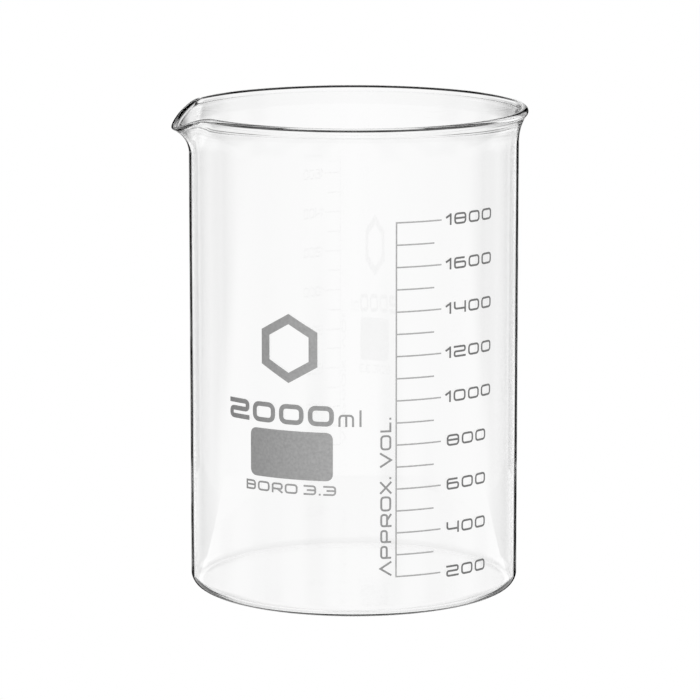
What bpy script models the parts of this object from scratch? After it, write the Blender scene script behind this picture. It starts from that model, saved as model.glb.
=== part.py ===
"""A low-form laboratory beaker of 2000 ml: one blown glass body, and the fired enamel marks on its wall.

Metres, +Z up. The origin is on the beaker's axis, in the plane that it stands on. The marks face -Y and
the spout points to -X, turned a little towards the marks.

The marks are first drawn flat, with x along the wall, y up it and z out of it, and are then bent round it.
"""

import math

import bmesh
import bpy
from mathutils import Matrix, Vector

# Glass body
BODY_RADIUS = 0.0636
BODY_HEIGHT = 0.1873
WALL_THICKNESS = 0.0012
BASE_THICKNESS = 0.0016
OUTER_CORNER_RADIUS = 0.0048
INNER_CORNER_RADIUS = 0.0036
RIM_RADIUS = 0.0672
BEAD_RADIUS = 0.0016
BEAD_INNER_ANGLE = 180
BEAD_OUTER_ANGLE = -55
FLARE_START = 0.1735
FLARE_POWER = 2.2
CORNER_STEPS = 4
FLARE_STEPS = 6
BEAD_STEPS = 8
TURN_STEPS = 72
SHARP_ANGLE = math.radians(50)
WELD_DISTANCE = 1e-6

# Spout. It grows wider from its root up to the rim
SPOUT_DIRECTION = math.radians(186)
SPOUT_HALF_ANGLE = math.radians(31)
SPOUT_ROOT_HALF_ANGLE = math.radians(15)
SPOUT_ROOT = 0.1705
SPOUT_PULL = 0.0034
SPOUT_PULL_POWER = 1.1
SPOUT_DROP = 0.0069
SPOUT_DROP_POWER = 1.3

# Enamel
ENAMEL_GAP = 0.0001
ENAMEL_THICKNESS = 0.0002
BEND_STEP = 0.002
CUT_TOLERANCE = 1e-4
ROUND_STEPS = 2
MITRE_LIMIT = 0.3
# Flat shapes are drawn this many times larger than they are, because Blender merges points that are near
DRAWING_SCALE = 1000

# Graduation scale
MILLILITRES_A_LINE = 100
LOWEST_LINE = 200
HIGHEST_LINE = 1800
LOWEST_LINE_HEIGHT = 0.016
LINE_SPACING = 0.00846
SCALE_LEFT = 0.0161
LONG_LINE = 0.0184
SHORT_LINE = 0.0153
LINE_WIDTH = 0.00055

# Lettering: x of the left edge, height of the baseline, and the size of a letter
NUMBER_LEFT = 0.0366
NUMBER_HEIGHT = 0.0044
NUMBER_WIDTH = 0.0059
NUMBER_ONE_WIDTH = 0.0024
NUMBER_STROKE = 0.00075
NUMBER_GAP = 0.0013
SHORT_NUMBER_INSET = 0.0006
CAPACITY_LEFT = -0.0526
CAPACITY_BASE = 0.0741
CAPACITY_HEIGHT = 0.0078
CAPACITY_WIDTH = 0.0100
CAPACITY_STROKE = 0.0018
CAPACITY_GAP = 0.0017
UNIT_HEIGHT = 0.0047
UNIT_WIDTH = 0.0059
UNIT_STROKE = 0.0008
UNIT_TALL_HEIGHT = 0.0064
UNIT_GAP = 0.0020
CAPTION_BASE = 0.0142
CAPTION_START = 0.0166
CAPTION_HEIGHT = 0.0042
CAPTION_STROKE = 0.00075
CAPTION_GAP = 0.0011
CAPTION_SPACE = 0.0028
GRADE_LEFT = -0.0441
GRADE_BASE = 0.0475
GRADE_HEIGHT = 0.0038
GRADE_STROKE = 0.0007
GRADE_GAP = 0.0010
GRADE_SPACE = 0.0014
ROUNDING = 0.3
MOST_OF_SIDE = 0.45

# Patch and hexagon
PATCH_LEFT = -0.0419
PATCH_BASE = 0.0531
PATCH_WIDTH = 0.0340
PATCH_HEIGHT = 0.0186
PATCH_CORNER = 0.0030
HEXAGON_X = -0.0252
HEXAGON_Y = 0.1032
HEXAGON_RADIUS = 0.0132
HEXAGON_BAND = 0.0034
HEXAGON_SIDES = 6

# Each letter is a list of strokes on a square from (0, 0) to (1, 1). A stroke is its points, and whether
# it closes on itself.
RING = ([(0, 0), (1, 0), (1, 1), (0, 1)], True)
LETTERS = {
    "0": [RING],
    "1": [([(0, 0.72), (0.9, 0.95)], False), ([(1, 1), (1, 0)], False)],
    "2": [([(0, 1), (1, 1), (1, 0.5), (0, 0.5), (0, 0), (1, 0)], False)],
    "3": [([(0, 1), (1, 1), (1, 0), (0, 0)], False), ([(0.3, 0.5), (1, 0.5)], False)],
    "4": [([(0, 1), (0, 0.35), (1, 0.35)], False), ([(1, 1), (1, 0)], False)],
    "6": [([(0, 0), (1, 0), (1, 0.58), (0, 0.58)], True), ([(0.85, 1), (0, 1), (0, 0.4)], False)],
    "8": [RING, ([(0, 0.52), (1, 0.52)], False)],
    "A": [([(0, 0), (0.5, 1), (1, 0)], False)],
    "B": [
        ([(0, 1), (1, 1), (1, 0), (0, 0)], False),
        ([(0, 0), (0, 1)], False),
        ([(0, 0.52), (1, 0.52)], False),
    ],
    "L": [([(0, 1), (0, 0), (1, 0)], False)],
    "O": [RING],
    "P": [([(0, 0.38), (1, 0.38), (1, 1), (0, 1)], True), ([(0, 0), (0, 0.6)], False)],
    "R": [
        ([(0, 0.38), (1, 0.38), (1, 1), (0, 1)], True),
        ([(0, 0), (0, 0.6)], False),
        ([(0.55, 0.36), (1, 0)], False),
    ],
    "V": [([(0, 1), (0.5, 0), (1, 1)], False)],
    "X": [([(0, 0), (1, 1)], False), ([(0, 1), (1, 0)], False)],
    "m": [([(0, 0), (0, 1), (1, 1), (1, 0)], False), ([(0.5, 1), (0.5, 0)], False)],
    "l": [([(0, 0), (0, 1)], False)],
    ".": [([(0, 0), (0, 0.02)], False)],
}
SHARP_LETTERS = "AVX1L"
# Widths of the caption's and the grade's letters, as shares of their height
LETTER_WIDTHS = {
    "A": 1.28, "B": 1.18, "L": 0.88, "O": 1.38, "P": 1.2, "R": 1.18, "V": 1.28, "X": 1.05, "3": 1.3,
}

GLASS_COLOUR = (0.96, 0.97, 0.97, 1.0)
ENAMEL_COLOUR = (0.30, 0.30, 0.30, 1.0)
ENAMEL_ROUGHNESS = 0.5


def clear_scene():
    for item in list(bpy.data.objects):
        bpy.data.objects.remove(item, do_unlink=True)


def new_collection(name):
    collection = bpy.data.collections.new(name)
    bpy.context.scene.collection.children.link(collection)
    return collection


def new_material(name, colour, roughness, transmission=0.0):
    material = bpy.data.materials.new(name)
    material.use_nodes = True
    shader = material.node_tree.nodes["Principled BSDF"]
    shader.inputs["Base Color"].default_value = colour
    shader.inputs["Roughness"].default_value = roughness
    shader.inputs["Metallic"].default_value = 0.0
    shader.inputs["Transmission Weight"].default_value = transmission
    return material


def add_object(name, data, collection):
    item = bpy.data.objects.new(name, data)
    collection.objects.link(item)
    return item


def face_outwards(form):
    bmesh.ops.recalc_face_normals(form, faces=form.faces)
    if form.calc_volume(signed=True) < 0:
        bmesh.ops.reverse_faces(form, faces=form.faces)


def evaluated_mesh(item, weld):
    """A new mesh of the object as its modifiers leave it, with points this near each other welded."""
    graph = bpy.context.evaluated_depsgraph_get()
    mesh = bpy.data.meshes.new_from_object(item.evaluated_get(graph))
    form = bmesh.new()
    form.from_mesh(mesh)
    bmesh.ops.remove_doubles(form, verts=form.verts, dist=weld)
    face_outwards(form)
    form.to_mesh(mesh)
    form.free()
    return mesh


# Glass body


def arc_points(centre, radius, start, end, steps):
    """Points on an arc, both ends included, with the angles in degrees."""
    points = []
    for step in range(steps + 1):
        angle = math.radians(start + (end - start) * step / steps)
        points.append((centre[0] + radius * math.cos(angle), centre[1] + radius * math.sin(angle)))
    return points


def flare_points(wall_radius, top):
    """Points up one side of the flare, from where the straight wall ends to the bead."""
    points = []
    for step in range(FLARE_STEPS + 1):
        share = step / FLARE_STEPS
        radius = wall_radius + (top[0] - wall_radius) * share**FLARE_POWER
        points.append((radius, FLARE_START + (top[1] - FLARE_START) * share))
    return points


def body_profile():
    """From the axis inside the base, out and up the inside, over the bead, and down the outside."""
    inner_radius = BODY_RADIUS - WALL_THICKNESS
    bead_centre = (RIM_RADIUS - BEAD_RADIUS, BODY_HEIGHT - BEAD_RADIUS)
    bead = arc_points(bead_centre, BEAD_RADIUS, BEAD_INNER_ANGLE, BEAD_OUTER_ANGLE, BEAD_STEPS)
    inner_corner = (inner_radius - INNER_CORNER_RADIUS, BASE_THICKNESS + INNER_CORNER_RADIUS)
    outer_corner = (BODY_RADIUS - OUTER_CORNER_RADIUS, OUTER_CORNER_RADIUS)
    points = [(0.0, BASE_THICKNESS)]
    points += arc_points(inner_corner, INNER_CORNER_RADIUS, -90, 0, CORNER_STEPS)
    points.append((inner_radius, SPOUT_ROOT))
    points += flare_points(inner_radius, bead[0])
    points += bead[1:]
    points += flare_points(BODY_RADIUS, bead[-1])[-2::-1]
    points.append((BODY_RADIUS, SPOUT_ROOT))
    points += arc_points(outer_corner, OUTER_CORNER_RADIUS, 0, -90, CORNER_STEPS)
    points.append((0.0, 0.0))
    return points


def spout_shift(point):
    """How far the spout carries a point of the glass: out and down, most at the rim in the spout's middle."""
    rise = (point.z - SPOUT_ROOT) / (BODY_HEIGHT - SPOUT_ROOT)
    if rise <= 0:
        return Vector()
    direction = math.atan2(point.y, point.x) % math.tau
    half_angle = SPOUT_ROOT_HALF_ANGLE + (SPOUT_HALF_ANGLE - SPOUT_ROOT_HALF_ANGLE) * rise
    across = min(abs(direction - SPOUT_DIRECTION) / half_angle, 1.0)
    share = math.cos(across * math.pi / 2) ** 2
    shift = Vector((math.cos(direction), math.sin(direction), 0.0)) * SPOUT_PULL * rise**SPOUT_PULL_POWER
    shift.z = -SPOUT_DROP * rise**SPOUT_DROP_POWER
    return share * shift


def glass_body(collection, guides):
    points = body_profile()
    outline = bpy.data.meshes.new("body_profile")
    edges = [(index, index + 1) for index in range(len(points) - 1)]
    outline.from_pydata([(x, 0.0, z) for x, z in points], edges, [])
    profile = add_object("body_profile", outline, guides)
    turn = profile.modifiers.new("turn", "SCREW")
    turn.axis = "Z"
    turn.angle = math.tau
    turn.steps = TURN_STEPS
    turn.render_steps = TURN_STEPS
    turn.use_merge_vertices = True
    turn.merge_threshold = WELD_DISTANCE
    mesh = evaluated_mesh(profile, WELD_DISTANCE)
    mesh.name = "glass_body"
    for vertex in mesh.vertices:
        vertex.co += spout_shift(vertex.co)
    mesh.shade_smooth()
    mesh.set_sharp_from_angle(angle=SHARP_ANGLE)
    body = add_object("glass_body", mesh, collection)
    body.data.materials.append(new_material("borosilicate_glass", GLASS_COLOUR, 0.0, 1.0))
    profile.hide_render = True
    profile.display_type = "WIRE"


# Flat shapes


def rounded(points, closed, radius):
    """The points with each corner made an arc, as far as the shorter of its two sides allows."""
    count = len(points)
    result = []
    for index, point in enumerate(points):
        corner = Vector(point)
        if not closed and index in (0, count - 1):
            result.append(corner)
            continue
        before = Vector(points[index - 1]) - corner
        after = Vector(points[(index + 1) % count]) - corner
        reach = min(radius, MOST_OF_SIDE * before.length, MOST_OF_SIDE * after.length)
        if reach <= 0:
            result.append(corner)
            continue
        start = corner + before.normalized() * reach
        end = corner + after.normalized() * reach
        for step in range(ROUND_STEPS + 1):
            share = step / ROUND_STEPS
            result.append(start * (1 - share) ** 2 + corner * 2 * share * (1 - share) + end * share**2)
    return result


def offset_side(points, closed, distance):
    """The line of points moved sideways by a distance, to its left where that is positive."""
    count = len(points)
    result = []
    for index, point in enumerate(points):
        before = point - points[index - 1] if closed or index > 0 else None
        after = points[(index + 1) % count] - point if closed or index < count - 1 else None
        ways = [way.normalized() for way in (before, after) if way is not None]
        sides = [Vector((-way.y, way.x)) for way in ways]
        middle = sum(sides, Vector((0.0, 0.0))).normalized()
        result.append(point + middle * distance / max(middle.dot(sides[0]), MITRE_LIMIT))
    return result


def stroke_outlines(points, closed, width):
    """The outlines of a stroke of this width: two round a closed stroke, one round an open one."""
    if closed:
        return [offset_side(points, True, width / 2), offset_side(points, True, -width / 2)]
    points[0] = points[0] + (points[0] - points[1]).normalized() * width / 2
    points[-1] = points[-1] + (points[-1] - points[-2]).normalized() * width / 2
    return [offset_side(points, False, width / 2) + offset_side(points, False, -width / 2)[::-1]]


def flat_mesh(outlines):
    """A plate of the enamel's thickness, from closed outlines. An outline inside another is a hole."""
    curve = bpy.data.curves.new("outline", "CURVE")
    curve.dimensions = "2D"
    curve.fill_mode = "BOTH"
    curve.extrude = DRAWING_SCALE * ENAMEL_THICKNESS / 2
    for outline in outlines:
        spline = curve.splines.new("POLY")
        spline.points.add(len(outline) - 1)
        for place, point in zip(spline.points, outline):
            place.co = (DRAWING_SCALE * point[0], DRAWING_SCALE * point[1], 0.0, 1.0)
        spline.use_cyclic_u = True
    item = add_object("outline", curve, bpy.context.scene.collection)
    mesh = evaluated_mesh(item, DRAWING_SCALE * WELD_DISTANCE)
    bpy.data.objects.remove(item)
    return mesh


def joined(meshes):
    """One mesh from overlapping ones."""
    if len(meshes) == 1:
        return meshes[0]
    items = [add_object("stroke", mesh, bpy.context.scene.collection) for mesh in meshes]
    for other in items[1:]:
        union = items[0].modifiers.new("union", "BOOLEAN")
        union.operation = "UNION"
        union.solver = "EXACT"
        union.object = other
    mesh = evaluated_mesh(items[0], DRAWING_SCALE * WELD_DISTANCE)
    for item in items:
        bpy.data.objects.remove(item)
    return mesh


def letter_mesh(letter, width, height, stroke):
    """A flat letter with its lower left corner at the origin."""
    radius = 0.0 if letter in SHARP_LETTERS else ROUNDING * min(width, height)
    meshes = []
    for points, closed in LETTERS[letter]:
        placed = [
            Vector((stroke / 2 + x * (width - stroke), stroke / 2 + y * (height - stroke)))
            for x, y in points
        ]
        line = rounded(placed, closed, radius)
        meshes.append(flat_mesh(stroke_outlines(line, closed, stroke)))
    return joined(meshes)


def bent_round_wall(flat, name, place, collection, material):
    """A flat mesh moved to its place and bent round the wall, as an object of its own."""
    form = bmesh.new()
    form.from_mesh(flat)
    larger = Matrix.Scale(DRAWING_SCALE, 4)
    smaller = Matrix.Scale(1 / DRAWING_SCALE, 4)
    form.transform(larger @ place @ smaller)
    left = min(vertex.co.x for vertex in form.verts)
    right = max(vertex.co.x for vertex in form.verts)
    cuts = int((right - left) / (DRAWING_SCALE * BEND_STEP))
    for cut in range(1, cuts + 1):
        x = left + (right - left) * cut / (cuts + 1)
        everything = form.verts[:] + form.edges[:] + form.faces[:]
        bmesh.ops.bisect_plane(
            form, geom=everything, dist=CUT_TOLERANCE, plane_co=(x, 0, 0), plane_no=(1, 0, 0)
        )
    middle = BODY_RADIUS + ENAMEL_GAP + ENAMEL_THICKNESS / 2
    form.transform(smaller)
    for vertex in form.verts:
        x, y, z = vertex.co
        angle = x / BODY_RADIUS
        vertex.co = ((middle + z) * math.sin(angle), -(middle + z) * math.cos(angle), y)
    face_outwards(form)
    mesh = bpy.data.meshes.new(name)
    form.to_mesh(mesh)
    form.free()
    item = add_object(name, mesh, collection)
    item.data.materials.append(material)
    return item


# Marks


def line_height(millilitres):
    """Height of the middle of a graduation. They are evenly spaced."""
    return LOWEST_LINE_HEIGHT + LINE_SPACING * (millilitres - LOWEST_LINE) / MILLILITRES_A_LINE


def rectangle(left, bottom, width, height):
    return [(left, bottom), (left + width, bottom), (left + width, bottom + height), (left, bottom + height)]


def graduation_scale(collection):
    half = LINE_WIDTH / 2
    bottom = line_height(LOWEST_LINE) - half
    height = line_height(HIGHEST_LINE) + half - bottom
    strokes = [rectangle(SCALE_LEFT - half, bottom, LINE_WIDTH, height)]
    for millilitres in range(LOWEST_LINE, HIGHEST_LINE + 1, MILLILITRES_A_LINE):
        is_long = millilitres % (2 * MILLILITRES_A_LINE) == 0
        length = LONG_LINE if is_long else SHORT_LINE
        strokes.append(rectangle(SCALE_LEFT, line_height(millilitres) - half, length, LINE_WIDTH))
    flat = joined([flat_mesh([stroke]) for stroke in strokes])
    material = new_material("scale_enamel", ENAMEL_COLOUR, ENAMEL_ROUGHNESS)
    bent_round_wall(flat, "graduation_scale", Matrix(), collection, material)


def scale_numbers(collection):
    material = new_material("number_enamel", ENAMEL_COLOUR, ENAMEL_ROUGHNESS)
    for value in range(LOWEST_LINE, HIGHEST_LINE + 1, 2 * MILLILITRES_A_LINE):
        digits = str(value)
        left = NUMBER_LEFT + (SHORT_NUMBER_INSET if len(digits) < 4 else 0.0)
        base = line_height(value) - NUMBER_HEIGHT / 2
        for index, digit in enumerate(digits, 1):
            width = NUMBER_ONE_WIDTH if digit == "1" else NUMBER_WIDTH
            flat = letter_mesh(digit, width, NUMBER_HEIGHT, NUMBER_STROKE)
            place = Matrix.Translation((left, base, 0.0))
            bent_round_wall(flat, f"number_{value}_digit_{index}", place, collection, material)
            left += width + NUMBER_GAP


def capacity_mark(collection):
    material = new_material("capacity_enamel", ENAMEL_COLOUR, ENAMEL_ROUGHNESS)
    left = CAPACITY_LEFT
    for index, digit in enumerate("2000", 1):
        flat = letter_mesh(digit, CAPACITY_WIDTH, CAPACITY_HEIGHT, CAPACITY_STROKE)
        place = Matrix.Translation((left, CAPACITY_BASE, 0.0))
        bent_round_wall(flat, f"capacity_digit_{index}", place, collection, material)
        left += CAPACITY_WIDTH + CAPACITY_GAP
    flat = letter_mesh("m", UNIT_WIDTH, UNIT_HEIGHT, UNIT_STROKE)
    place = Matrix.Translation((left, CAPACITY_BASE, 0.0))
    bent_round_wall(flat, "capacity_unit_m", place, collection, material)
    left += UNIT_WIDTH + UNIT_GAP
    flat = letter_mesh("l", UNIT_STROKE, UNIT_TALL_HEIGHT, UNIT_STROKE)
    place = Matrix.Translation((left, CAPACITY_BASE, 0.0))
    bent_round_wall(flat, "capacity_unit_l", place, collection, material)


def letter_width(letter, height, stroke):
    return stroke if letter == "." else LETTER_WIDTHS[letter] * height


def scale_caption(collection):
    """APPROX. VOL., reading up the wall beside the scale."""
    material = new_material("caption_enamel", ENAMEL_COLOUR, ENAMEL_ROUGHNESS)
    upwards = Matrix.Rotation(math.radians(90), 4, "Z")
    start = CAPTION_START
    count = 0
    for letter in "APPROX. VOL.":
        if letter == " ":
            start += CAPTION_SPACE
            continue
        count += 1
        width = letter_width(letter, CAPTION_HEIGHT, CAPTION_STROKE)
        flat = letter_mesh(letter, width, CAPTION_HEIGHT, CAPTION_STROKE)
        place = Matrix.Translation((CAPTION_BASE, start, 0.0)) @ upwards
        bent_round_wall(flat, f"caption_letter_{count:02d}", place, collection, material)
        start += width + CAPTION_GAP


def glass_grade(collection):
    """BORO 3.3, the usual name of this class of glass."""
    material = new_material("grade_enamel", ENAMEL_COLOUR, ENAMEL_ROUGHNESS)
    left = GRADE_LEFT
    count = 0
    for letter in "BORO 3.3":
        if letter == " ":
            left += GRADE_SPACE
            continue
        count += 1
        width = letter_width(letter, GRADE_HEIGHT, GRADE_STROKE)
        flat = letter_mesh(letter, width, GRADE_HEIGHT, GRADE_STROKE)
        place = Matrix.Translation((left, GRADE_BASE, 0.0))
        bent_round_wall(flat, f"grade_letter_{count}", place, collection, material)
        left += width + GRADE_GAP


def writing_patch(collection):
    corners = [(0, 0), (PATCH_WIDTH, 0), (PATCH_WIDTH, PATCH_HEIGHT), (0, PATCH_HEIGHT)]
    flat = flat_mesh([rounded(corners, True, PATCH_CORNER)])
    material = new_material("patch_enamel", ENAMEL_COLOUR, ENAMEL_ROUGHNESS)
    place = Matrix.Translation((PATCH_LEFT, PATCH_BASE, 0.0))
    bent_round_wall(flat, "writing_patch", place, collection, material)


def hexagon_outline(radius):
    """A hexagon that stands on a corner."""
    points = []
    for corner in range(HEXAGON_SIDES):
        angle = math.tau * corner / HEXAGON_SIDES
        points.append((radius * math.sin(angle), radius * math.cos(angle)))
    return points


def plain_hexagon(collection):
    inner_radius = HEXAGON_RADIUS - HEXAGON_BAND / math.cos(math.pi / HEXAGON_SIDES)
    flat = flat_mesh([hexagon_outline(HEXAGON_RADIUS), hexagon_outline(inner_radius)])
    material = new_material("hexagon_enamel", ENAMEL_COLOUR, ENAMEL_ROUGHNESS)
    place = Matrix.Translation((HEXAGON_X, HEXAGON_Y, 0.0))
    bent_round_wall(flat, "plain_hexagon", place, collection, material)


def main():
    clear_scene()
    collection = new_collection("beaker")
    guides = new_collection("beaker_guides")
    glass_body(collection, guides)
    graduation_scale(collection)
    scale_numbers(collection)
    capacity_mark(collection)
    scale_caption(collection)
    glass_grade(collection)
    writing_patch(collection)
    plain_hexagon(collection)


main()
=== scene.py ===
"""The looks of a low-form beaker of 2000 ml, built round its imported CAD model.

Metres and +Z up, in the CAD's own frame: the beaker's axis is at the origin, the marks face -Y and the
spout points to -X. The glass is turned again from a finer profile, with its bead, spout and pushed-up base.
The enamel marks are drawn again with finer corners, each where its CAD node is on the wall. They are first
drawn flat in millimetres, with x along the wall, y up it and z out of it, and are then bent round it.
"""

import math

import bmesh
import bpy
from mathutils import Matrix, Vector

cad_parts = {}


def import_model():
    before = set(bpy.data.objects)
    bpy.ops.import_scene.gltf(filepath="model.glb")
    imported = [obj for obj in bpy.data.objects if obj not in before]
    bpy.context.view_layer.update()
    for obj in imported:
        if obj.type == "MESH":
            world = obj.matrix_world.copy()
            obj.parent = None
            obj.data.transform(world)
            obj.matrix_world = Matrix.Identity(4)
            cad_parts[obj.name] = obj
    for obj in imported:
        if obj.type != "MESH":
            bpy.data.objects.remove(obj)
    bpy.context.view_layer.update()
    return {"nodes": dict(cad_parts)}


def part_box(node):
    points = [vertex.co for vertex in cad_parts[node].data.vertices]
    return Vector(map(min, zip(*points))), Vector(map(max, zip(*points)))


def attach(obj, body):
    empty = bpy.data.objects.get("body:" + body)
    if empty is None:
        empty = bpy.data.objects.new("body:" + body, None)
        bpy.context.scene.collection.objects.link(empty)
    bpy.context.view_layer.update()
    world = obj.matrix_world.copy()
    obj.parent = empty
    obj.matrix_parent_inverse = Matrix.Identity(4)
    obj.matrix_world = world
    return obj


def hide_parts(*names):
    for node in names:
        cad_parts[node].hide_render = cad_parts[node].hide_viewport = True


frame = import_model()

MILLIMETRE = 0.001

# Glass
WALL_THICKNESS = 0.0012
BASE_THICKNESS = 0.0016
OUTER_CORNER_RADIUS = 0.0048
INNER_CORNER_RADIUS = 0.0036
PUSH_UP = 0.0004
FOOT_RADIUS = 0.0540
FLARE_START = 0.1735
FLARE_POWER = 2.2
BEAD_RADIUS = 0.0016
BEAD_INNER_ANGLE = 180
BEAD_OUTER_ANGLE = -55
DEGREES_A_STEP = 6
FLARE_STEPS = 16
DOME_STEPS = 12
TURN_STEPS = 288
ROW_SPACING = 0.0090
NECK_START = 0.1650
NECK_SPACING = 0.0009

# Spout
SPOUT_DIRECTION = math.radians(186)
SPOUT_HALF_ANGLE = math.radians(31)
SPOUT_ROOT_HALF_ANGLE = math.radians(15)
SPOUT_ROOT = 0.1705
SPOUT_PULL = 0.0034
SPOUT_PULL_POWER = 1.1
SPOUT_DROP = 0.0069
SPOUT_DROP_POWER = 1.3

# Enamel, flat sizes in millimetres
ENAMEL_GAP = 0.02
ENAMEL_THICKNESS = 0.08
BEND_STEP = 0.6
ROUND_STEPS = 8
WELD_DISTANCE = 0.001
CUT_TOLERANCE = 1e-4
MITRE_LIMIT = 0.3
ROUNDING = 0.3
MOST_OF_SIDE = 0.45
LINE_WIDTH = 0.55
SHORT_LINE_SHARE = 0.832
LINE_COUNT = 17
NUMBER_STROKE = 0.75
CAPACITY_STROKE = 1.8
UNIT_STROKE = 0.8
CAPTION_STROKE = 0.75
GRADE_STROKE = 0.7
PATCH_CORNER = 3.0
HEXAGON_BAND = 3.4
HEXAGON_SIDES = 6

# The numbers of the scale, in millilitres
LOWEST_NUMBER = 200
HIGHEST_NUMBER = 1800
NUMBER_INTERVAL = 200

# Each letter is a list of strokes on a square from (0, 0) to (1, 1). A stroke is its points, and whether
# it closes on itself.
RING = ([(0, 0), (1, 0), (1, 1), (0, 1)], True)
LETTERS = {
    "0": [RING],
    "1": [([(0, 0.72), (0.9, 0.95)], False), ([(1, 1), (1, 0)], False)],
    "2": [([(0, 1), (1, 1), (1, 0.5), (0, 0.5), (0, 0), (1, 0)], False)],
    "3": [([(0, 1), (1, 1), (1, 0), (0, 0)], False), ([(0.3, 0.5), (1, 0.5)], False)],
    "4": [([(0, 1), (0, 0.35), (1, 0.35)], False), ([(1, 1), (1, 0)], False)],
    "6": [([(0, 0), (1, 0), (1, 0.58), (0, 0.58)], True), ([(0.85, 1), (0, 1), (0, 0.4)], False)],
    "8": [RING, ([(0, 0.52), (1, 0.52)], False)],
    "A": [([(0, 0), (0.5, 1), (1, 0)], False)],
    "B": [
        ([(0, 1), (1, 1), (1, 0), (0, 0)], False),
        ([(0, 0), (0, 1)], False),
        ([(0, 0.52), (1, 0.52)], False),
    ],
    "L": [([(0, 1), (0, 0), (1, 0)], False)],
    "O": [RING],
    "P": [([(0, 0.38), (1, 0.38), (1, 1), (0, 1)], True), ([(0, 0), (0, 0.6)], False)],
    "R": [
        ([(0, 0.38), (1, 0.38), (1, 1), (0, 1)], True),
        ([(0, 0), (0, 0.6)], False),
        ([(0.55, 0.36), (1, 0)], False),
    ],
    "V": [([(0, 1), (0.5, 0), (1, 1)], False)],
    "X": [([(0, 0), (1, 1)], False), ([(0, 1), (1, 0)], False)],
    "m": [([(0, 0), (0, 1), (1, 1), (1, 0)], False), ([(0.5, 1), (0.5, 0)], False)],
    "l": [([(0, 0), (0, 1)], False)],
    ".": [([(0, 0), (0, 0.02)], False)],
}
SHARP_LETTERS = "AVX1L"

# Glass material
GLASS_IOR = 1.47
WAVE_SCALE = 35.0
WAVE_STRENGTH = 0.3
WAVE_DEPTH = 0.0001

# Enamel material. A shade is its darkest and lightest grey, and fine strokes are darker than wide areas
WIDE_SHADE = (0.25, 0.31)
CAPACITY_SHADE = (0.22, 0.27)
CAPTION_SHADE = (0.18, 0.23)
NUMBER_SHADE = (0.09, 0.13)
ENAMEL_ROUGHNESS = 0.5
GRAIN_SCALE = 900.0
GRAIN_DETAIL = 4.0
GRAIN_DARK_PLACE = 0.3
GRAIN_LIGHT_PLACE = 0.7
GRAIN_STRENGTH = 0.2
GRAIN_DEPTH = 0.00002

# Camera
CAMERA_PLACE = (0.0, -1.7781, 0.4182)
CAMERA_PITCH = math.radians(10.40)
CAMERA_LENS = 239.4
CAMERA_SENSOR = 36.0
CAMERA_SHIFT = -0.0055

# Set. The floor and the slab are just under the base
FLOOR_SIZE = 6.0
FLOOR_HEIGHT = -0.0002
SLAB_HEIGHT = -0.0001
SLAB_RADIUS = 0.0615
SLAB_BACK = 0.200
SLAB_STEPS = 32
SLAB_BRIGHTNESS = 0.96
TENT_RADIUS = 3.0
TENT_CENTRE = (0.0, -0.0077, 0.0933)
TENT_SEGMENTS = 64
TENT_RINGS = 32
SOFTBOX_PLACE = (1.3, -2.2, 1.6)
SOFTBOX_SIZE = 1.2
SOFTBOX_WATTS = 85.0
LIGHT_BOUNCES = 32
GLASS_BOUNCES = 24
# Degrees from straight ahead to straight behind, and from level to straight up
HALF_TURN = 180
QUARTER_TURN = 90


# Sizes that the frame gives


def wall_radius():
    """The radius of the straight wall, which the widest points of the CAD glass's lower half are on."""
    points = [vertex.co for vertex in frame["nodes"]["glass_body"].data.vertices]
    return max(math.hypot(point.x, point.y) for point in points if point.z < FLARE_START / 2)


BODY_RADIUS = wall_radius()
glass_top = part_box("glass_body")[1]
RIM_RADIUS = glass_top.x
BODY_HEIGHT = glass_top.z


def flat_box(node):
    """Left, bottom, right and top of a mark on the unrolled wall, in millimetres."""
    points = [vertex.co for vertex in frame["nodes"][node].data.vertices]
    across = [math.atan2(point.x, -point.y) * BODY_RADIUS / MILLIMETRE for point in points]
    up = [point.z / MILLIMETRE for point in points]
    return min(across), min(up), max(across), max(up)


# What several pieces share


def add_object(name, data):
    item = bpy.data.objects.new(name, data)
    bpy.context.scene.collection.objects.link(item)
    return item


def face_outwards(form):
    bmesh.ops.recalc_face_normals(form, faces=form.faces)
    if form.calc_volume(signed=True) < 0:
        bmesh.ops.reverse_faces(form, faces=form.faces)


# Glass


def arc_points(centre, radius, start, end):
    """Points on an arc, both ends included, with the angles in degrees."""
    steps = max(1, round(abs(end - start) / DEGREES_A_STEP))
    points = []
    for step in range(steps + 1):
        angle = math.radians(start + (end - start) * step / steps)
        points.append((centre[0] + radius * math.cos(angle), centre[1] + radius * math.sin(angle)))
    return points


def flare_points(low, high):
    """Points up a flare, from where the wall is straight to where the bead takes over."""
    points = []
    for step in range(FLARE_STEPS + 1):
        share = step / FLARE_STEPS
        points.append((low[0] + (high[0] - low[0]) * share**FLARE_POWER, low[1] + (high[1] - low[1]) * share))
    return points


def rows(radius, bottom, top, spacing):
    """Points up a straight wall, without the one at the bottom."""
    count = round((top - bottom) / spacing)
    return [(radius, bottom + (top - bottom) * row / count) for row in range(1, count + 1)]


def wall_points(radius, bottom):
    """Rows up the straight wall, close together near the spout's root."""
    neck = rows(radius, NECK_START, FLARE_START, NECK_SPACING)
    return rows(radius, bottom, NECK_START, ROW_SPACING) + neck[:-1]


def dome_points(height, radius):
    """The pushed-up middle of the base, from the axis outwards."""
    points = []
    for step in range(DOME_STEPS + 1):
        share = step / DOME_STEPS
        points.append((radius * share, height + PUSH_UP * (1 + math.cos(math.pi * share)) / 2))
    return points


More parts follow.
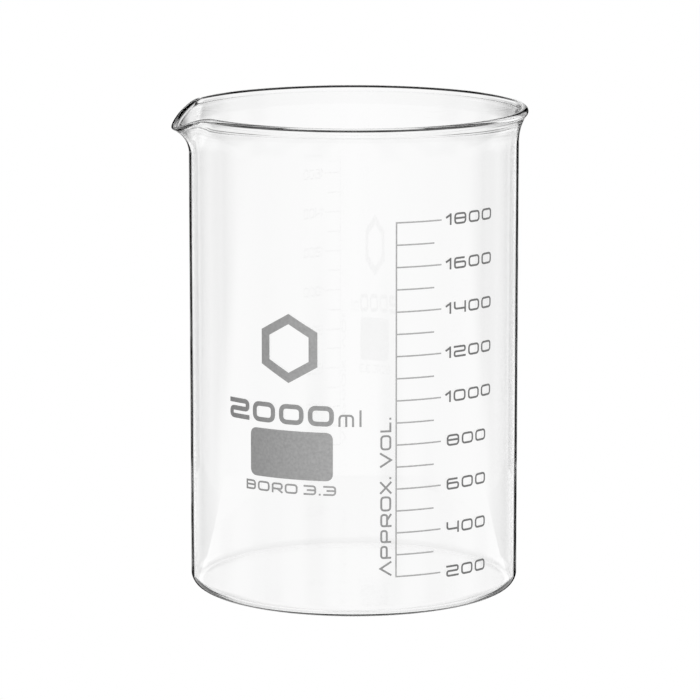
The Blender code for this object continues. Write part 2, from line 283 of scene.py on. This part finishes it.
def glass_profile():
    """From the axis inside the base, out and up the inside, over the bead, and down the outside."""
    inner_radius = BODY_RADIUS - WALL_THICKNESS
    bead_centre = (RIM_RADIUS - BEAD_RADIUS, BODY_HEIGHT - BEAD_RADIUS)
    bead = arc_points(bead_centre, BEAD_RADIUS, BEAD_INNER_ANGLE, BEAD_OUTER_ANGLE)
    inner_corner = (inner_radius - INNER_CORNER_RADIUS, BASE_THICKNESS + INNER_CORNER_RADIUS)
    outer_corner = (BODY_RADIUS - OUTER_CORNER_RADIUS, OUTER_CORNER_RADIUS)

    points = dome_points(BASE_THICKNESS, FOOT_RADIUS)
    points += arc_points(inner_corner, INNER_CORNER_RADIUS, -90, 0)
    points += wall_points(inner_radius, inner_corner[1])
    points += flare_points((inner_radius, FLARE_START), bead[0])
    points += bead[1:]
    points += flare_points((BODY_RADIUS, FLARE_START), bead[-1])[-2::-1]
    points += wall_points(BODY_RADIUS, outer_corner[1])[::-1]
    points += arc_points(outer_corner, OUTER_CORNER_RADIUS, 0, -90)
    points += dome_points(0.0, FOOT_RADIUS)[::-1]
    return points


def spout_shift(point):
    """How far the spout carries a point of the glass: out and down, most at the rim in the spout's middle."""
    direction = math.atan2(point.y, point.x) % math.tau
    outwards = Vector((math.cos(direction), math.sin(direction), 0.0))
    away = abs(direction - SPOUT_DIRECTION)
    shift = Vector()
    rise = (point.z - SPOUT_ROOT) / (BODY_HEIGHT - SPOUT_ROOT)
    if rise > 0:
        half_angle = SPOUT_ROOT_HALF_ANGLE + (SPOUT_HALF_ANGLE - SPOUT_ROOT_HALF_ANGLE) * rise
        across = math.cos(min(away / half_angle, 1.0) * math.pi / 2) ** 2
        shift += across * SPOUT_PULL * rise**SPOUT_PULL_POWER * outwards
        shift.z -= across * SPOUT_DROP * rise**SPOUT_DROP_POWER
    return shift


def turned_mesh(name, profile):
    """A closed mesh turned about the Z axis from a profile that starts and ends on it."""
    ring = profile[1:-1]
    points = [(0.0, 0.0, profile[0][1]), (0.0, 0.0, profile[-1][1])]
    for turn in range(TURN_STEPS):
        angle = math.tau * turn / TURN_STEPS
        points += [(x * math.cos(angle), x * math.sin(angle), z) for x, z in ring]
    count = len(ring)
    faces = []
    for turn in range(TURN_STEPS):
        here = 2 + turn * count
        there = 2 + (turn + 1) % TURN_STEPS * count
        faces.append((0, there, here))
        faces += [(here + row, there + row, there + row + 1, here + row + 1) for row in range(count - 1)]
        faces.append((here + count - 1, there + count - 1, 1))
    mesh = bpy.data.meshes.new(name)
    mesh.from_pydata(points, [], faces)
    return mesh


def glass():
    mesh = turned_mesh("glass", glass_profile())
    for vertex in mesh.vertices:
        vertex.co += spout_shift(vertex.co)
    form = bmesh.new()
    form.from_mesh(mesh)
    face_outwards(form)
    form.to_mesh(mesh)
    form.free()
    mesh.shade_smooth()
    piece = add_object("glass", mesh)
    mesh.materials.append(glass_material())
    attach(piece, "root")
    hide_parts("glass_body")


# Flat shapes


def evaluated_mesh(item):
    """A new mesh of the object as its modifiers leave it, with points that are almost the same welded."""
    graph = bpy.context.evaluated_depsgraph_get()
    mesh = bpy.data.meshes.new_from_object(item.evaluated_get(graph))
    form = bmesh.new()
    form.from_mesh(mesh)
    bmesh.ops.remove_doubles(form, verts=form.verts, dist=WELD_DISTANCE)
    face_outwards(form)
    form.to_mesh(mesh)
    form.free()
    return mesh


def rounded(points, closed, radius):
    """The points with each corner made round, as far as the shorter of its two sides allows."""
    count = len(points)
    result = []
    for index, point in enumerate(points):
        corner = Vector(point)
        if not closed and index in (0, count - 1):
            result.append(corner)
            continue
        before = Vector(points[index - 1]) - corner
        after = Vector(points[(index + 1) % count]) - corner
        reach = min(radius, MOST_OF_SIDE * before.length, MOST_OF_SIDE * after.length)
        if reach <= 0:
            result.append(corner)
            continue
        start = corner + before.normalized() * reach
        end = corner + after.normalized() * reach
        for step in range(ROUND_STEPS + 1):
            share = step / ROUND_STEPS
            result.append(start * (1 - share) ** 2 + corner * 2 * share * (1 - share) + end * share**2)
    return result


def offset_side(points, closed, distance):
    """The line of points moved sideways by a distance, to its left where that is positive."""
    count = len(points)
    result = []
    for index, point in enumerate(points):
        before = point - points[index - 1] if closed or index > 0 else None
        after = points[(index + 1) % count] - point if closed or index < count - 1 else None
        ways = [way.normalized() for way in (before, after) if way is not None]
        sides = [Vector((-way.y, way.x)) for way in ways]
        middle = sum(sides, Vector((0.0, 0.0))).normalized()
        result.append(point + middle * distance / max(middle.dot(sides[0]), MITRE_LIMIT))
    return result


def stroke_outlines(points, closed, width):
    """The outlines of a stroke of this width: two round a closed stroke, one round an open one."""
    if closed:
        return [offset_side(points, True, width / 2), offset_side(points, True, -width / 2)]
    points[0] = points[0] + (points[0] - points[1]).normalized() * width / 2
    points[-1] = points[-1] + (points[-1] - points[-2]).normalized() * width / 2
    return [offset_side(points, False, width / 2) + offset_side(points, False, -width / 2)[::-1]]


def flat_mesh(outlines):
    """A plate of the enamel's thickness, from closed outlines. An outline inside another is a hole."""
    curve = bpy.data.curves.new("outline", "CURVE")
    curve.dimensions = "2D"
    curve.fill_mode = "BOTH"
    curve.extrude = ENAMEL_THICKNESS / 2
    for outline in outlines:
        spline = curve.splines.new("POLY")
        spline.points.add(len(outline) - 1)
        for place, point in zip(spline.points, outline):
            place.co = (point[0], point[1], 0.0, 1.0)
        spline.use_cyclic_u = True
    item = add_object("outline", curve)
    mesh = evaluated_mesh(item)
    bpy.data.objects.remove(item)
    return mesh


def joined(meshes):
    """One mesh from overlapping ones."""
    if len(meshes) == 1:
        return meshes[0]
    items = [add_object("stroke", mesh) for mesh in meshes]
    for other in items[1:]:
        union = items[0].modifiers.new("union", "BOOLEAN")
        union.operation = "UNION"
        union.solver = "EXACT"
        union.object = other
    mesh = evaluated_mesh(items[0])
    for item in items:
        bpy.data.objects.remove(item)
    return mesh


# Letters that are already drawn, by their sizes
drawn_letters = {}


def letter_mesh(letter, width, height, stroke):
    """A flat letter with its lower left corner at the origin."""
    key = (letter, round(width, 2), round(height, 2), stroke)
    if key not in drawn_letters:
        radius = 0.0 if letter in SHARP_LETTERS else ROUNDING * min(width, height)
        meshes = []
        for points, closed in LETTERS[letter]:
            placed = [
                Vector((stroke / 2 + x * (width - stroke), stroke / 2 + y * (height - stroke)))
                for x, y in points
            ]
            line = rounded(placed, closed, radius)
            meshes.append(flat_mesh(stroke_outlines(line, closed, stroke)))
        drawn_letters[key] = joined(meshes)
    return drawn_letters[key]


def bend_round_wall(form):
    """A flat drawing in millimetres becomes a layer on the wall, in metres."""
    left = min(vertex.co.x for vertex in form.verts)
    right = max(vertex.co.x for vertex in form.verts)
    cuts = int((right - left) / BEND_STEP)
    for cut in range(1, cuts + 1):
        x = left + (right - left) * cut / (cuts + 1)
        everything = form.verts[:] + form.edges[:] + form.faces[:]
        bmesh.ops.bisect_plane(
            form, geom=everything, dist=CUT_TOLERANCE, plane_co=(x, 0, 0), plane_no=(1, 0, 0)
        )
    middle = BODY_RADIUS / MILLIMETRE + ENAMEL_GAP + ENAMEL_THICKNESS / 2
    for vertex in form.verts:
        x, y, z = vertex.co
        angle = x * MILLIMETRE / BODY_RADIUS
        out = (middle + z) * MILLIMETRE
        vertex.co = (out * math.sin(angle), -out * math.cos(angle), y * MILLIMETRE)


def enamel_piece(name, flats, material, nodes):
    """One piece of enamel from flat drawings, each with its place on the wall."""
    whole = bmesh.new()
    for flat, place in flats:
        form = bmesh.new()
        form.from_mesh(flat)
        form.transform(place)
        bend_round_wall(form)
        face_outwards(form)
        bent = bpy.data.meshes.new(name)
        form.to_mesh(bent)
        form.free()
        whole.from_mesh(bent)
        bpy.data.meshes.remove(bent)
    mesh = bpy.data.meshes.new(name)
    whole.to_mesh(mesh)
    whole.free()
    mesh.materials.append(material)
    piece = add_object(name, mesh)
    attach(piece, "root")
    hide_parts(*nodes)


# Marks


def lettering(name, letters, nodes, strokes, material, upwards=False):
    """Letters that each fill the rectangle of their own CAD node."""
    flats = []
    for letter, node, stroke in zip(letters, nodes, strokes):
        left, bottom, right, top = flat_box(node)
        if upwards:
            flat = letter_mesh(letter, top - bottom, right - left, stroke)
            place = Matrix.Translation((right, bottom, 0.0)) @ Matrix.Rotation(math.radians(90), 4, "Z")
        else:
            flat = letter_mesh(letter, right - left, top - bottom, stroke)
            place = Matrix.Translation((left, bottom, 0.0))
        flats.append((flat, place))
    enamel_piece(name, flats, material, nodes)


def scale_numbers():
    material = enamel_material("number_enamel", NUMBER_SHADE)
    for value in range(LOWEST_NUMBER, HIGHEST_NUMBER + 1, NUMBER_INTERVAL):
        digits = str(value)
        nodes = [f"number_{value}_digit_{index}" for index in range(1, len(digits) + 1)]
        strokes = [NUMBER_STROKE] * len(digits)
        lettering(f"number_{value}", digits, nodes, strokes, material)


def capacity_mark():
    digits = "2000"
    unit = "ml"
    nodes = [f"capacity_digit_{index}" for index in range(1, len(digits) + 1)]
    nodes += [f"capacity_unit_{letter}" for letter in unit]
    strokes = [CAPACITY_STROKE] * len(digits) + [UNIT_STROKE] * len(unit)
    material = enamel_material("capacity_enamel", CAPACITY_SHADE)
    lettering("capacity", digits + unit, nodes, strokes, material)


def scale_caption():
    letters = "APPROX.VOL."
    nodes = [f"caption_letter_{index:02d}" for index in range(1, len(letters) + 1)]
    strokes = [CAPTION_STROKE] * len(letters)
    material = enamel_material("caption_enamel", CAPTION_SHADE)
    lettering("scale_caption", letters, nodes, strokes, material, upwards=True)


def glass_grade():
    letters = "BORO3.3"
    nodes = [f"grade_letter_{index}" for index in range(1, len(letters) + 1)]
    strokes = [GRADE_STROKE] * len(letters)
    material = enamel_material("grade_enamel", WIDE_SHADE)
    lettering("glass_grade", letters, nodes, strokes, material)


def rectangle(left, bottom, right, top):
    return [(left, bottom), (right, bottom), (right, top), (left, top)]


def scale_lines():
    left, bottom, right, top = flat_box("graduation_scale")
    half = LINE_WIDTH / 2
    strokes = [rectangle(left, bottom, left + LINE_WIDTH, top)]
    for index in range(LINE_COUNT):
        y = bottom + half + (top - bottom - LINE_WIDTH) * index / (LINE_COUNT - 1)
        length = (right - left - half) * (1.0 if index % 2 == 0 else SHORT_LINE_SHARE)
        strokes.append(rectangle(left + half, y - half, left + half + length, y + half))
    flat = joined([flat_mesh([stroke]) for stroke in strokes])
    material = enamel_material("scale_enamel", WIDE_SHADE)
    enamel_piece("scale_lines", [(flat, Matrix())], material, ["graduation_scale"])


def patch():
    left, bottom, right, top = flat_box("writing_patch")
    flat = flat_mesh([rounded(rectangle(left, bottom, right, top), True, PATCH_CORNER)])
    material = enamel_material("patch_enamel", WIDE_SHADE)
    enamel_piece("patch", [(flat, Matrix())], material, ["writing_patch"])


def hexagon_outline(radius):
    """A hexagon that stands on a corner."""
    angles = [math.pi / 2 + math.tau * corner / HEXAGON_SIDES for corner in range(HEXAGON_SIDES)]
    return [(radius * math.cos(angle), radius * math.sin(angle)) for angle in angles]


def hexagon():
    left, bottom, right, top = flat_box("plain_hexagon")
    radius = (top - bottom) / 2
    inner_radius = radius - HEXAGON_BAND / math.cos(math.pi / HEXAGON_SIDES)
    flat = flat_mesh([hexagon_outline(radius), hexagon_outline(inner_radius)])
    place = Matrix.Translation(((left + right) / 2, (bottom + top) / 2, 0.0))
    material = enamel_material("hexagon_enamel", WIDE_SHADE)
    enamel_piece("hexagon", [(flat, place)], material, ["plain_hexagon"])


# Materials


def new_material(name):
    material = bpy.data.materials.new(name)
    material.use_nodes = True
    return material, material.node_tree.nodes, material.node_tree.links


def grey_ramp(nodes, stops):
    """A colour ramp through greys. A stop is a place from 0 to 1 and a brightness."""
    ramp = nodes.new("ShaderNodeValToRGB")
    for index, (place, brightness) in enumerate(stops):
        elements = ramp.color_ramp.elements
        stop = elements[index] if index < 2 else elements.new(place)
        stop.position = place
        stop.color = (brightness, brightness, brightness, 1.0)
    return ramp


def glass_material():
    """Clear glass with the faint waves of blown glass."""
    material, nodes, links = new_material("borosilicate_glass")
    shader = nodes["Principled BSDF"]
    shader.inputs["Base Color"].default_value = (1.0, 1.0, 1.0, 1.0)
    shader.inputs["Roughness"].default_value = 0.0
    shader.inputs["IOR"].default_value = GLASS_IOR
    shader.inputs["Transmission Weight"].default_value = 1.0
    place = nodes.new("ShaderNodeTexCoord")
    waves = nodes.new("ShaderNodeTexNoise")
    waves.inputs["Scale"].default_value = WAVE_SCALE
    waves.inputs["Detail"].default_value = 1.0
    bump = nodes.new("ShaderNodeBump")
    bump.inputs["Strength"].default_value = WAVE_STRENGTH
    bump.inputs["Distance"].default_value = WAVE_DEPTH
    links.new(place.outputs["Object"], waves.inputs["Vector"])
    links.new(waves.outputs["Fac"], bump.inputs["Height"])
    links.new(bump.outputs["Normal"], shader.inputs["Normal"])
    return material


def enamel_material(name, shade):
    """Fired grey enamel: a little mottled and not quite even, with a satin finish."""
    material, nodes, links = new_material(name)
    shader = nodes["Principled BSDF"]
    shader.inputs["Roughness"].default_value = ENAMEL_ROUGHNESS
    place = nodes.new("ShaderNodeTexCoord")
    grain = nodes.new("ShaderNodeTexNoise")
    grain.inputs["Scale"].default_value = GRAIN_SCALE
    grain.inputs["Detail"].default_value = GRAIN_DETAIL
    dark, light = shade
    colour = grey_ramp(nodes, [(GRAIN_DARK_PLACE, dark), (GRAIN_LIGHT_PLACE, light)])
    bump = nodes.new("ShaderNodeBump")
    bump.inputs["Strength"].default_value = GRAIN_STRENGTH
    bump.inputs["Distance"].default_value = GRAIN_DEPTH
    links.new(place.outputs["Object"], grain.inputs["Vector"])
    links.new(grain.outputs["Fac"], colour.inputs["Fac"])
    links.new(colour.outputs["Color"], shader.inputs["Base Color"])
    links.new(grain.outputs["Fac"], bump.inputs["Height"])
    links.new(bump.outputs["Normal"], shader.inputs["Normal"])
    return material


# Camera and set


def emission_material(name, strength):
    """A material that only gives light, and its emission node."""
    material, nodes, links = new_material(name)
    nodes.remove(nodes["Principled BSDF"])
    light = nodes.new("ShaderNodeEmission")
    light.inputs["Strength"].default_value = strength
    links.new(light.outputs["Emission"], nodes["Material Output"].inputs["Surface"])
    return material, light


def camera():
    data = bpy.data.cameras.new("camera")
    data.lens = CAMERA_LENS
    data.sensor_width = CAMERA_SENSOR
    data.shift_x = CAMERA_SHIFT
    item = add_object("camera", data)
    item.location = CAMERA_PLACE
    item.rotation_euler = (math.pi / 2 - CAMERA_PITCH, 0.0, 0.0)
    bpy.context.scene.camera = item


def floor():
    """A plain white sweep, which only the camera sees."""
    bpy.ops.mesh.primitive_plane_add(size=FLOOR_SIZE, location=(0.0, 0.0, FLOOR_HEIGHT))
    item = bpy.context.object
    item.name = "floor"
    material, _ = emission_material("white_sweep", 1.0)
    item.data.materials.append(material)
    item.visible_diffuse = False
    item.visible_glossy = False
    item.visible_transmission = False
    item.visible_shadow = False


def slab():
    """A lit white slab just under the base: a half disc in front, and straight sides to its back.

    It shows through the glass and isn't seen by itself.
    """
    angles = [math.pi * (1 + step / SLAB_STEPS) for step in range(SLAB_STEPS + 1)]
    outline = [(SLAB_RADIUS * math.cos(angle), SLAB_RADIUS * math.sin(angle)) for angle in angles]
    outline += [(SLAB_RADIUS, SLAB_BACK), (-SLAB_RADIUS, SLAB_BACK)]
    mesh = bpy.data.meshes.new("slab")
    mesh.from_pydata([(x, y, SLAB_HEIGHT) for x, y in outline], [], [range(len(outline))])
    item = add_object("slab", mesh)
    material, _ = emission_material("white_slab", SLAB_BRIGHTNESS)
    item.data.materials.append(material)
    item.visible_camera = False
    item.visible_diffuse = False
    item.visible_shadow = False


def mirrored(pairs):
    """Pairs of degrees from 0 up, with the same brightness to the left as to the right."""
    return [(-degrees, brightness) for degrees, brightness in reversed(pairs)] + pairs[1:]


# The tent's brightness by the angle round its upright axis, 0 straight behind the object, in zones one above
# another. The tent stands still in every view. Its axis leans back by the camera's pitch.
# White is the brightness of its sides and back. A flag is a darker band in them, which draws the edges of the
# glass from the sides.
WHITE = 0.87
FLAG = 0.5
LEVEL = mirrored([
    (0, 0.99), (4.5, 0.94), (7, 0.52), (10, 0.50), (10.5, 0.0), (22, 0.0), (24, 1.2), (60, 1.1),
    (69, FLAG), (77, FLAG), (84, WHITE), (96, WHITE), (103, FLAG), (111, FLAG), (118, WHITE), (180, WHITE),
])
HIGH = mirrored([(0, 1.0), (10, 1.0), (10.5, 0.0), (20, 0.0), (180, 0.2)])
ABOVE = mirrored([(0, 0.0), (30, 0.0), (180, 0.2)])
BELOW = mirrored([(0, 0.0), (20, 0.0), (24, 1.0), (90, 1.0), (110, WHITE), (180, WHITE)])
DEEP = mirrored([
    (0, 0.0), (20, 0.0), (24, 1.0), (40, 1.0), (50, 0.0), (80, 0.0), (90, WHITE), (107, WHITE),
    (114, FLAG), (122, FLAG), (129, WHITE), (141, WHITE),
    (148, FLAG), (156, FLAG), (163, WHITE), (180, WHITE),
])
# How much of each other zone shows in place of the level one, by the angle above the tent's own horizon
HIGH_SHARE = [(-90, 0.0), (26, 0.0), (30, 1.0), (90, 1.0)]
ABOVE_SHARE = [(-90, 0.0), (46, 0.0), (50, 1.0), (90, 1.0)]
BELOW_SHARE = [(-90, 1.0), (-9, 1.0), (-7, 0.0), (90, 0.0)]
DEEP_SHARE = [(-90, 1.0), (-22, 1.0), (-17, 0.0), (90, 0.0)]
OTHER_ZONES = ((HIGH, HIGH_SHARE), (ABOVE, ABOVE_SHARE), (BELOW, BELOW_SHARE), (DEEP, DEEP_SHARE))


def calculation(nodes, links, operation, first, second=None):
    """The output of a Math node. The first input is a socket, and the second a socket, a number or absent."""
    step = nodes.new("ShaderNodeMath")
    step.operation = operation
    links.new(first, step.inputs[0])
    if isinstance(second, float):
        step.inputs[1].default_value = second
    elif second is not None:
        links.new(second, step.inputs[1])
    return step.outputs[0]


def angle_stops(pairs, full):
    """Pairs of degrees and brightness as stops of a ramp whose ends are -full and full degrees."""
    return [((degrees + full) / (2 * full), brightness) for degrees, brightness in pairs]


def angle_ramp(nodes, links, angle, pairs, full):
    """Brightness from an angle in radians, through a ramp whose pairs are in degrees from -full to full."""
    span = nodes.new("ShaderNodeMapRange")
    span.inputs["From Min"].default_value = -math.radians(full)
    span.inputs["From Max"].default_value = math.radians(full)
    links.new(angle, span.inputs["Value"])
    ramp = grey_ramp(nodes, angle_stops(pairs, full))
    links.new(span.outputs["Result"], ramp.inputs["Fac"])
    return ramp.outputs["Color"]


def tent():
    """A light tent that stands round the object, centred on it and lit as its zones say."""
    bpy.ops.mesh.primitive_uv_sphere_add(
        segments=TENT_SEGMENTS, ring_count=TENT_RINGS, radius=TENT_RADIUS
    )
    item = bpy.context.object
    item.name = "tent"
    item.location = TENT_CENTRE
    item.rotation_euler = (math.pi / 2 - CAMERA_PITCH, 0.0, 0.0)
    material, light = emission_material("tent", 1.0)
    nodes = material.node_tree.nodes
    links = material.node_tree.links
    place = nodes.new("ShaderNodeTexCoord")
    axes = nodes.new("ShaderNodeSeparateXYZ")
    links.new(place.outputs["Object"], axes.inputs["Vector"])
    ahead = calculation(nodes, links, "MULTIPLY", axes.outputs["Z"], -1.0)
    around = calculation(nodes, links, "ARCTAN2", axes.outputs["X"], ahead)
    height = calculation(nodes, links, "DIVIDE", axes.outputs["Y"], TENT_RADIUS)
    up = calculation(nodes, links, "ARCSINE", height)

    brightness = angle_ramp(nodes, links, around, LEVEL, HALF_TURN)
    for pairs, share in OTHER_ZONES:
        blend = nodes.new("ShaderNodeMixRGB")
        links.new(angle_ramp(nodes, links, up, share, QUARTER_TURN), blend.inputs["Fac"])
        links.new(brightness, blend.inputs["Color1"])
        links.new(angle_ramp(nodes, links, around, pairs, HALF_TURN), blend.inputs["Color2"])
        brightness = blend.outputs["Color"]
    links.new(brightness, light.inputs["Color"])
    material.cycles.emission_sampling = "NONE"
    item.data.materials.append(material)
    item.visible_camera = False
    item.visible_shadow = False


def key_light():
    """A softbox in front, high on the right. It lights the enamel and isn't seen in the glass."""
    data = bpy.data.lights.new("softbox", "AREA")
    data.shape = "RECTANGLE"
    data.size = SOFTBOX_SIZE
    data.size_y = SOFTBOX_SIZE
    data.energy = SOFTBOX_WATTS
    item = add_object("softbox", data)
    item.location = SOFTBOX_PLACE
    aim = Vector((0.0, 0.0, BODY_HEIGHT / 2)) - item.location
    item.rotation_euler = aim.to_track_quat("-Z", "Y").to_euler()
    item.visible_glossy = False
    item.visible_transmission = False


def world():
    data = bpy.data.worlds.new("white")
    data.use_nodes = True
    data.node_tree.nodes["Background"].inputs["Color"].default_value = (1.0, 1.0, 1.0, 1.0)
    bpy.context.scene.world = data


def render_settings():
    """Plain colours, and enough bounces for light to leave the glass."""
    settings = bpy.context.scene.view_settings
    settings.view_transform = "Standard"
    settings.look = "None"
    paths = bpy.context.scene.cycles
    paths.max_bounces = LIGHT_BOUNCES
    paths.glossy_bounces = GLASS_BOUNCES
    paths.transmission_bounces = GLASS_BOUNCES


glass()
scale_lines()
scale_numbers()
capacity_mark()
scale_caption()
glass_grade()
patch()
hexagon()
camera()
floor()
slab()
tent()
key_light()
world()
render_settings()
